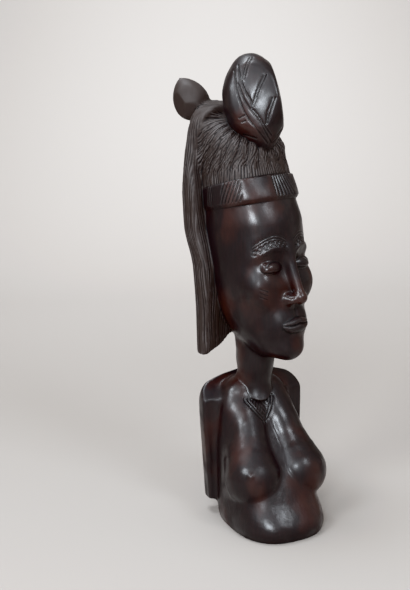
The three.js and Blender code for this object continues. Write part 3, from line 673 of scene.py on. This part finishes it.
def skin(field, low, high, cell):
    """Vertices and four-sided faces of the surface where the field is zero, facing the air."""
    value = sample(field, low, high, cell)
    inside = value < 0
    shape = np.array(value.shape)
    corners = [np.array([c & 1, (c >> 1) & 1, c >> 2]) for c in range(8)]

    def shifted(array, step):
        return array[tuple(slice(step[a], shape[a] - 1 + step[a]) for a in range(3))]

    count = sum(shifted(inside, step).astype(np.uint8) for step in corners)
    cells = np.argwhere((count > 0) & (count < 8))
    number = np.full(shape - 1, -1, np.int32)
    number[tuple(cells.T)] = np.arange(len(cells))

    corner_value = [value[tuple((cells + step).T)] for step in corners]
    total = np.zeros((len(cells), 3))
    crossings = np.zeros(len(cells))
    for a in range(8):
        for axis in range(3):
            b = a | (1 << axis)
            if b == a:
                continue
            va, vb = corner_value[a], corner_value[b]
            crossed = (va < 0) != (vb < 0)
            t = np.where(crossed, va / np.where(crossed, va - vb, 1), 0)
            point = corners[a] + t[:, None] * (corners[b] - corners[a])
            total += point * crossed[:, None]
            crossings += crossed
    points = low + (cells + total / crossings[:, None]) * cell

    faces = []
    for axis in range(3):
        one, other = (axis + 1) % 3, (axis + 2) % 3
        step = np.eye(3, dtype=int)
        start = tuple(slice(0, shape[a] - 1) if a == axis else slice(1, shape[a] - 1) for a in range(3))
        end = tuple(slice(1, shape[a]) if a == axis else slice(1, shape[a] - 1) for a in range(3))
        leaving = inside[start] & ~inside[end]
        entering = ~inside[start] & inside[end]
        offset = np.array([0 if a == axis else 1 for a in range(3)])
        for flags, turned in ((leaving, False), (entering, True)):
            at = np.argwhere(flags) + offset
            ring = [at - step[one] - step[other], at - step[other], at, at - step[one]]
            quad = np.stack([number[tuple(cell_at.T)] for cell_at in ring], -1)
            faces.append(quad[:, ::-1] if turned else quad)
    return points, np.concatenate(faces)


def bend_of_surface(field, points, reach):
    """How sharply the surface bends at points: above 0 on edges, below 0 in hollows, in 1/mm."""
    around_it = sum(
        in_chunks(field, points + shift) + in_chunks(field, points - shift) for shift in np.eye(3) * reach)
    return (around_it - 6 * in_chunks(field, points)) / reach ** 2


# Blender helpers


def new_mesh(name, points, faces):
    """A mesh of points in metres and faces with one number of sides."""
    mesh = bpy.data.meshes.new(name)
    sides = faces.shape[1]
    mesh.vertices.add(len(points))
    mesh.vertices.foreach_set("co", points.astype(np.float32).ravel())
    mesh.loops.add(faces.size)
    mesh.loops.foreach_set("vertex_index", faces.astype(np.int32).ravel())
    mesh.polygons.add(len(faces))
    mesh.polygons.foreach_set("loop_start", np.arange(len(faces), dtype=np.int32) * sides)
    mesh.update(calc_edges=True)
    mesh.validate()
    return mesh


def add_object(name, mesh):
    piece = bpy.data.objects.new(name, mesh)
    bpy.context.scene.collection.objects.link(piece)
    return piece


def pare_down(piece, triangles):
    """Draws edges together until the piece has few enough triangles."""
    piece.data.calc_loop_triangles()
    modifier = piece.modifiers.new("pare", "DECIMATE")
    modifier.ratio = triangles / len(piece.data.loop_triangles)
    evaluated = piece.evaluated_get(bpy.context.evaluated_depsgraph_get())
    pared = bpy.data.meshes.new_from_object(evaluated)
    piece.modifiers.clear()
    bare = piece.data
    piece.data = pared
    bpy.data.meshes.remove(bare)


def add_value(mesh, name, values):
    layer = mesh.attributes.new(name, "FLOAT", "POINT")
    layer.data.foreach_set("value", values.astype(np.float32))


def add_node(tree, kind, settings=None, inputs=None):
    """Adds a node with its settings. An input is a value, or another node's output to link."""
    made = tree.nodes.new(kind)
    for name, value in (settings or {}).items():
        setattr(made, name, value)
    for socket, value in (inputs or {}).items():
        if isinstance(value, bpy.types.NodeSocket):
            tree.links.new(value, made.inputs[socket])
        else:
            made.inputs[socket].default_value = value
    return made


def new_material(name):
    material = bpy.data.materials.new(name)
    material.use_nodes = True
    material.node_tree.nodes.clear()
    return material, material.node_tree


# Noise in the wood, as (name, width across and length along the upright grain in mm, detail, roughness).
# Real pores are 0.1 to 0.3 mm across and scratches finer still, which is too fine to show, so the grain
# and the scratches are drawn as coarse as they need to be.
WOOD_NOISE = [
    ("grain", 1.5, 42, 4, 0.6),
    ("patches", 34, 60, 3, 0.5),
    ("handled", 9, 16, 3, 0.6),
    ("worn", 15, 19, 2, 0.5),
    ("knocks", 1.7, 2.6, 2, 0.6),
    ("uneven", 17, 24, 0, 0.5),
    ("facets", 7, 13, 1, 0.5),
    ("scratches", 0.7, 26, 2, 0.7),
]


def waxed_hardwood(finish):
    """Carved hardwood, stained nearly black and waxed.

    The wood was cut with knife and gouge, stained dark, waxed by rubbing and polished on its smooth
    parts. Those give broad soft highlights over a faint upright grain, and rub through to red-brown
    heartwood in patches. The cut hair was left matt. Convex edges are painted paler, most on the hair's
    ridges, partly as handling wear and partly as painted highlight. Hollows and the bottoms of cuts are
    painted near black as painted shade.
    """
    material, tree = new_material("Carved dark hardwood, waxed")
    metres = add_node(tree, "ShaderNodeTexCoord").outputs["Object"]
    place = add_node(
        tree, "ShaderNodeVectorMath", {"operation": "SCALE"}, {0: metres, "Scale": 1 / MM}).outputs[0]
    value = {"height": add_node(tree, "ShaderNodeSeparateXYZ", {}, {0: place}).outputs[2]}
    for name in ("hair", "bend"):
        value[name] = add_node(tree, "ShaderNodeAttribute", {"attribute_name": name}).outputs["Fac"]
    for name, width, length, detail, roughness in WOOD_NOISE:
        scaled = add_node(
            tree, "ShaderNodeVectorMath", {"operation": "MULTIPLY"},
            {0: place, 1: (1 / width, 1 / width, 1 / length)}).outputs[0]
        value[name] = add_node(
            tree, "ShaderNodeTexNoise", {},
            {"Vector": scaled, "Scale": 1.0, "Detail": detail, "Roughness": roughness}).outputs["Fac"]

    # Shares as (name, what it follows, easing, where that starts and ends, value at the start and the end)
    for name, source, way, low, high, at_low, at_high in (
        ("smooth", "hair", "LINEAR", 0, 1, 1, 0),
        ("matt", "hair", "LINEAR", 0, 1, finish.polish, finish.matt_roughness),
        ("ridges", "hair", "LINEAR", 0, 1, 0.2, 0.8),
        ("lines", "grain", "SMOOTHSTEP", 0.42, 0.7, 0, 0.7),
        ("red", "patches", "SMOOTHSTEP", 0.46, 0.66, 0, finish.red_share),
        # Pale colour on convex edges: partly handling wear, partly painted highlight
        ("edge", "bend", "SMOOTHSTEP", 0.12, 0.9, 0, 1),
        ("touched", "handled", "SMOOTHSTEP", 0.3, 0.62, 0, 1),
        # Painted shade: hollows and the bottoms of cuts are painted darker, towards the hollow colour
        ("dark", "bend", "SMOOTHSTEP", -0.15, -0.9, 0, 0.8),
        ("dusty", "bend", "SMOOTHSTEP", -0.15, -0.9, 0, 0.6),
        ("dull", "worn", "SMOOTHSTEP", 0.4, 0.6, -0.04, 0.12),
        ("wax", "worn", "SMOOTHSTEP", 0.4, 0.6, finish.wax, 0.1),
        ("foot", "height", "SMOOTHSTEP", 48, 30, 0, 1),
    ):
        value[name] = add_node(
            tree, "ShaderNodeMapRange", {"interpolation_type": way},
            {"Value": value[source], "From Min": low, "From Max": high, "To Min": at_low, "To Max": at_high}
        ).outputs[0]
    # What is there only as far as something else is
    for name, other in (
        ("red", "smooth"), ("edge", "touched"), ("edge", "ridges"), ("wax", "smooth"), ("knocks", "foot"),
    ):
        value[name] = add_node(
            tree, "ShaderNodeMath", {"operation": "MULTIPLY"}, {0: value[name], 1: value[other]}).outputs[0]

    colour = (*finish.stain, 1)
    for name, over in (
        # Over the stain: grain, heartwood, matt hair, pale edges that are partly wear and partly painted
        # highlight, and painted shade in hollows
        ("lines", finish.grain), ("red", finish.heartwood), ("hair", finish.matt), ("edge", finish.wear_and_highlight),
        # The hollow colour is painted shade
        ("dark", finish.hollow),
    ):
        colour = add_node(
            tree, "ShaderNodeMix", {"data_type": "RGBA"},
            {0: value[name], 6: colour, 7: (*over, 1)}).outputs[2]

    dusty_roughness = 0.7
    roughness = add_node(
        tree, "ShaderNodeMath", {"operation": "ADD"}, {0: value["matt"], 1: value["dull"]}).outputs[0]
    roughness = add_node(
        tree, "ShaderNodeMix", {}, {0: value["dusty"], 2: roughness, 3: dusty_roughness}).outputs[0]

    # Relief as (pattern, strength, depth in mm), the broadest first
    relief = {}
    for name, strength, depth in (
        ("uneven", 0.5, 2), ("facets", 0.5, 0.5), ("knocks", 0.5, 0.3), ("scratches", 0.3, 0.06),
    ):
        bump = add_node(
            tree, "ShaderNodeBump", {},
            {"Strength": strength, "Distance": depth * MM, "Height": value[name], **relief})
        relief = {"Normal": bump.outputs[0]}

    surface = add_node(tree, "ShaderNodeBsdfPrincipled", {}, {
        "Base Color": colour,
        "Roughness": roughness,
        "IOR": 1.52,
        "Coat Weight": value["wax"],
        "Coat Roughness": 0.2,
        **relief,
    })
    add_node(tree, "ShaderNodeOutputMaterial", {}, {"Surface": surface.outputs[0]})
    return material


def matt_paper(colour):
    """Seamless studio paper, a little rough, which gives the eye nothing but a soft shadow."""
    material, tree = new_material("Pale studio paper")
    surface = add_node(
        tree, "ShaderNodeBsdfPrincipled", {}, {"Base Color": (*colour, 1), "Roughness": 0.85})
    add_node(tree, "ShaderNodeOutputMaterial", {}, {"Surface": surface.outputs[0]})
    return material


# Settings


class BustCarving(bpy.types.PropertyGroup):
    """How finely the bust is cut."""

    cell: FloatProperty(
        name="Cell", description="Spacing of the lattice that the surface is drawn through, in millimetres",
        default=0.6, min=0.4, max=4)
    triangles: IntProperty(
        name="Triangles", description="Most triangles that the carving keeps", default=196000, min=20000)
    strand_depth: FloatProperty(
        name="Strand depth", description="Depth of the cuts that part the strands of hair, in millimetres",
        default=0.6, min=0, max=2)
    hatch_depth: FloatProperty(
        name="Hatch depth", description="Depth of the cuts on the headband, in millimetres",
        default=0.9, min=0, max=2)
    vein_depth: FloatProperty(
        name="Vein depth", description="Depth of the cuts on the leaf-shaped knot, in millimetres",
        default=0.8, min=0, max=2)


class BustFinish(bpy.types.PropertyGroup):
    """Colours and shine of the wood."""

    stain: FloatVectorProperty(
        name="Stain", description="Colour of the stained wood", subtype="COLOR", default=linear("1e1718"))
    grain: FloatVectorProperty(
        name="Grain", description="Colour of the paler grain lines", subtype="COLOR",
        default=linear("281c1d"))
    heartwood: FloatVectorProperty(
        name="Heartwood", description="Colour where the stain has rubbed through", subtype="COLOR",
        default=linear("482b25"))
    matt: FloatVectorProperty(
        name="Matt wood", description="Colour of the unpolished hair", subtype="COLOR",
        default=linear("3a312e"))
    # Pale colour painted on convex edges and ridges: partly handling wear, partly painted highlight
    wear_and_highlight: FloatVectorProperty(
        name="Worn edges and painted highlight", description="Colour of handled ridges, also painted as their highlight", subtype="COLOR",
        default=linear("625c5b"))
    # Painted shade: the near-black colour painted in hollows and at the bottom of cuts
    hollow: FloatVectorProperty(
        name="Hollows", description="Colour at the bottom of cuts", subtype="COLOR",
        default=linear("0c0807"))
    red_share: FloatProperty(
        name="Red share", description="How far the heartwood shows through in its patches", default=0.5,
        min=0, max=1, subtype="FACTOR")
    polish: FloatProperty(
        name="Polished roughness", description="Roughness of the polished wood", default=0.37, min=0, max=1,
        subtype="FACTOR")
    matt_roughness: FloatProperty(
        name="Matt roughness", description="Roughness of the cut hair", default=0.62, min=0, max=1,
        subtype="FACTOR")
    wax: FloatProperty(
        name="Wax", description="Weight of the wax layer on the polished wood", default=0.38, min=0, max=1,
        subtype="FACTOR")


class BustStage(bpy.types.PropertyGroup):
    """The floor, the lights and the camera."""

    paper: FloatVectorProperty(
        name="Paper", description="Colour of floor and backdrop", subtype="COLOR", default=linear("b0aaa5"))
    left_power: FloatProperty(
        name="Left window", description="Power of the soft light in front, left of the camera", default=8,
        min=0, unit="POWER")
    right_power: FloatProperty(
        name="Right window", description="Power of the soft light in front, right of the camera", default=6,
        min=0, unit="POWER")
    front_power: FloatProperty(
        name="Front window", description="Power of the small low light beside the camera", default=9, min=0,
        unit="POWER")
    roof_power: FloatProperty(
        name="Roof window", description="Power of the soft light above the figure", default=14, min=0,
        unit="POWER")
    wall_power: FloatProperty(
        name="Wall light", description="Power of the light on the backdrop", default=7.5, min=0, unit="POWER")
    sky: FloatProperty(
        name="Room light", description="Strength of the even light from the room", default=0.62, min=0)
    camera_place: FloatVectorProperty(
        name="Camera place", description="Where the camera is", subtype="TRANSLATION", unit="LENGTH",
        default=(-0.3667, -0.6944, 0.380))
    camera_turn: FloatProperty(
        name="Camera turn", description="Direction the camera looks in, from +Y towards +X", unit="ROTATION",
        default=radians(24))
    camera_dip: FloatProperty(
        name="Camera dip", description="How far the camera looks down", unit="ROTATION",
        default=radians(12.6))
    camera_roll: FloatProperty(
        name="Camera roll", description="How far the camera leans to its right", unit="ROTATION",
        default=radians(1.5))
    lens: FloatProperty(
        name="Lens", description="Focal length for a 36 mm frame, in millimetres", default=58.1, min=10)


# Operators


class CarveBust(bpy.types.Operator):
    """Carves the bust, cuts its fine relief and waxes it"""

    bl_idname = "carving.bust"
    bl_label = "Carve bust"

    def execute(self, context):
        depth = context.scene.bust_carving
        field = Carving(depth.strand_depth, depth.hatch_depth, depth.vein_depth)
        low, high = (np.array(corner) / MM for corner in CAD_BOUNDS)
        margin = 2
        points, faces = skin(field, low - margin, high + margin, depth.cell)
        points[:, 2] = np.maximum(points[:, 2], 0)
        piece = add_object("carved_bust", new_mesh("carved_bust", points * MM, faces))
        pare_down(piece, depth.triangles)
        mesh = piece.data
        places = np.empty(len(mesh.vertices) * 3, np.float32)
        mesh.vertices.foreach_get("co", places)
        places = places.reshape(-1, 3).astype(float) / MM
        add_value(mesh, "hair", in_chunks(field.hairiness, places))
        add_value(mesh, "bend", bend_of_surface(field, places, reach=0.8))
        mesh.shade_smooth()
        mesh.materials.append(waxed_hardwood(context.scene.bust_finish))
        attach(piece, "root")
        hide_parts("bust")
        return {"FINISHED"}


def area_light(name, turn, rise, size, power):
    """A square soft light that faces the bust, at angles in degrees round it and above it."""
    light = bpy.data.lights.new(name, "AREA")
    light.size = size
    light.energy = power
    light.color = LIGHT_COLOUR
    lamp = bpy.data.objects.new(name, light)
    bpy.context.scene.collection.objects.link(lamp)
    flat = cos(radians(rise))
    away = Vector((flat * sin(radians(turn)), -flat * cos(radians(turn)), sin(radians(rise))))
    lamp.location = Vector((0, 0, FIGURE_MIDDLE)) + LIGHT_DISTANCE * away
    lamp.rotation_euler = away.to_track_quat("Z", "Y").to_euler()
    return lamp


def wall_light(ahead, power):
    """A light above the bust whose beam brightens the backdrop alone."""
    lamp = area_light("wall_light", 0, 0, 0.5, power)
    lamp.data.spread = radians(90)
    lamp_ahead, lamp_height = 0.5, 1.6
    aim_ahead, aim_height = 1.45, 0.5
    place = Vector((lamp_ahead * ahead[0], lamp_ahead * ahead[1], lamp_height))
    target = Vector((aim_ahead * ahead[0], aim_ahead * ahead[1], aim_height))
    lamp.location = place
    lamp.rotation_euler = (place - target).to_track_quat("Z", "Y").to_euler()
    return lamp


class SetBustStage(bpy.types.Operator):
    """Sets up the paper sweep, the soft lights and the camera"""

    bl_idname = "carving.bust_stage"
    bl_label = "Set stage"

    def execute(self, context):
        scene = context.scene
        stage = scene.bust_stage
        turn = stage.camera_turn
        ahead = np.array([sin(turn), cos(turn)])
        across = np.array([cos(turn), -sin(turn)])
        bend_radius, distance, half_width, front, top = 0.6, 0.9, 3.0, 2.0, 3.0
        profile = [(-front, 0.0), (distance, 0.0)]
        steps = 16
        for i in range(1, steps + 1):
            angle = pi / 2 * i / steps
            profile.append((distance + bend_radius * sin(angle), bend_radius * (1 - cos(angle))))
        profile.append((distance + bend_radius, top))
        points, faces = [], []
        for i, (along, height) in enumerate(profile):
            for side in (-half_width, half_width):
                x, y = along * ahead + side * across
                points.append((x, y, height))
            if i:
                faces.append((2 * i - 2, 2 * i - 1, 2 * i + 1, 2 * i))
        floor = add_object("paper_sweep", new_mesh("paper_sweep", np.array(points), np.array(faces)))
        floor.data.shade_smooth()
        floor.data.materials.append(matt_paper(stage.paper))
        lamps = [
            area_light("left_window", -72, 38, 0.45, stage.left_power),
            area_light("right_window", 16, 42, 0.4, stage.right_power),
            area_light("front_window", -36, 26, 0.3, stage.front_power),
            area_light("roof_window", -150, 75, 0.6, stage.roof_power),
        ]
        wall_light(ahead, stage.wall_power)

        world = bpy.data.worlds.new("Soft room light")
        world.use_nodes = True
        sky = world.node_tree.nodes["Background"]
        sky.inputs["Color"].default_value = SKY_COLOUR
        sky.inputs["Strength"].default_value = stage.sky
        scene.world = world
        scene.view_settings.view_transform = "Khronos PBR Neutral"

        view = bpy.data.cameras.new("photo_view")
        view.lens = stage.lens
        view.sensor_width = 36
        camera = bpy.data.objects.new("photo_view", view)
        scene.collection.objects.link(camera)
        camera.matrix_world = (
            Matrix.Translation(stage.camera_place)
            @ Matrix.Rotation(-turn, 4, "Z")
            @ Matrix.Rotation(pi / 2 - stage.camera_dip, 4, "X")
            @ Matrix.Rotation(-stage.camera_roll, 4, "Z"))
        scene.camera = camera
        return {"FINISHED"}


class BustPanel(bpy.types.Panel):
    """Settings of the bust in the sidebar"""

    bl_idname = "VIEW3D_PT_bust"
    bl_label = "Carved bust"
    bl_space_type = "VIEW_3D"
    bl_region_type = "UI"
    bl_category = "Carving"

    def draw(self, context):
        scene = context.scene
        for settings, operator in (
            (scene.bust_carving, CarveBust), (scene.bust_finish, None), (scene.bust_stage, SetBustStage),
        ):
            column = self.layout.column(align=True)
            for name in settings.bl_rna.properties.keys():
                if name not in {"rna_type", "name"}:
                    column.prop(settings, name)
            if operator:
                column.operator(operator.bl_idname)


CLASSES = (BustCarving, BustFinish, BustStage, CarveBust, SetBustStage, BustPanel)


def register():
    for cls in CLASSES:
        bpy.utils.register_class(cls)
    bpy.types.Scene.bust_carving = PointerProperty(type=BustCarving)
    bpy.types.Scene.bust_finish = PointerProperty(type=BustFinish)
    bpy.types.Scene.bust_stage = PointerProperty(type=BustStage)


def unregister():
    del bpy.types.Scene.bust_stage
    del bpy.types.Scene.bust_finish
    del bpy.types.Scene.bust_carving
    for cls in reversed(CLASSES):
        bpy.utils.unregister_class(cls)


def main():
    register()
    bpy.ops.carving.bust()
    bpy.ops.carving.bust_stage()


if __name__ == "__main__":
    main()
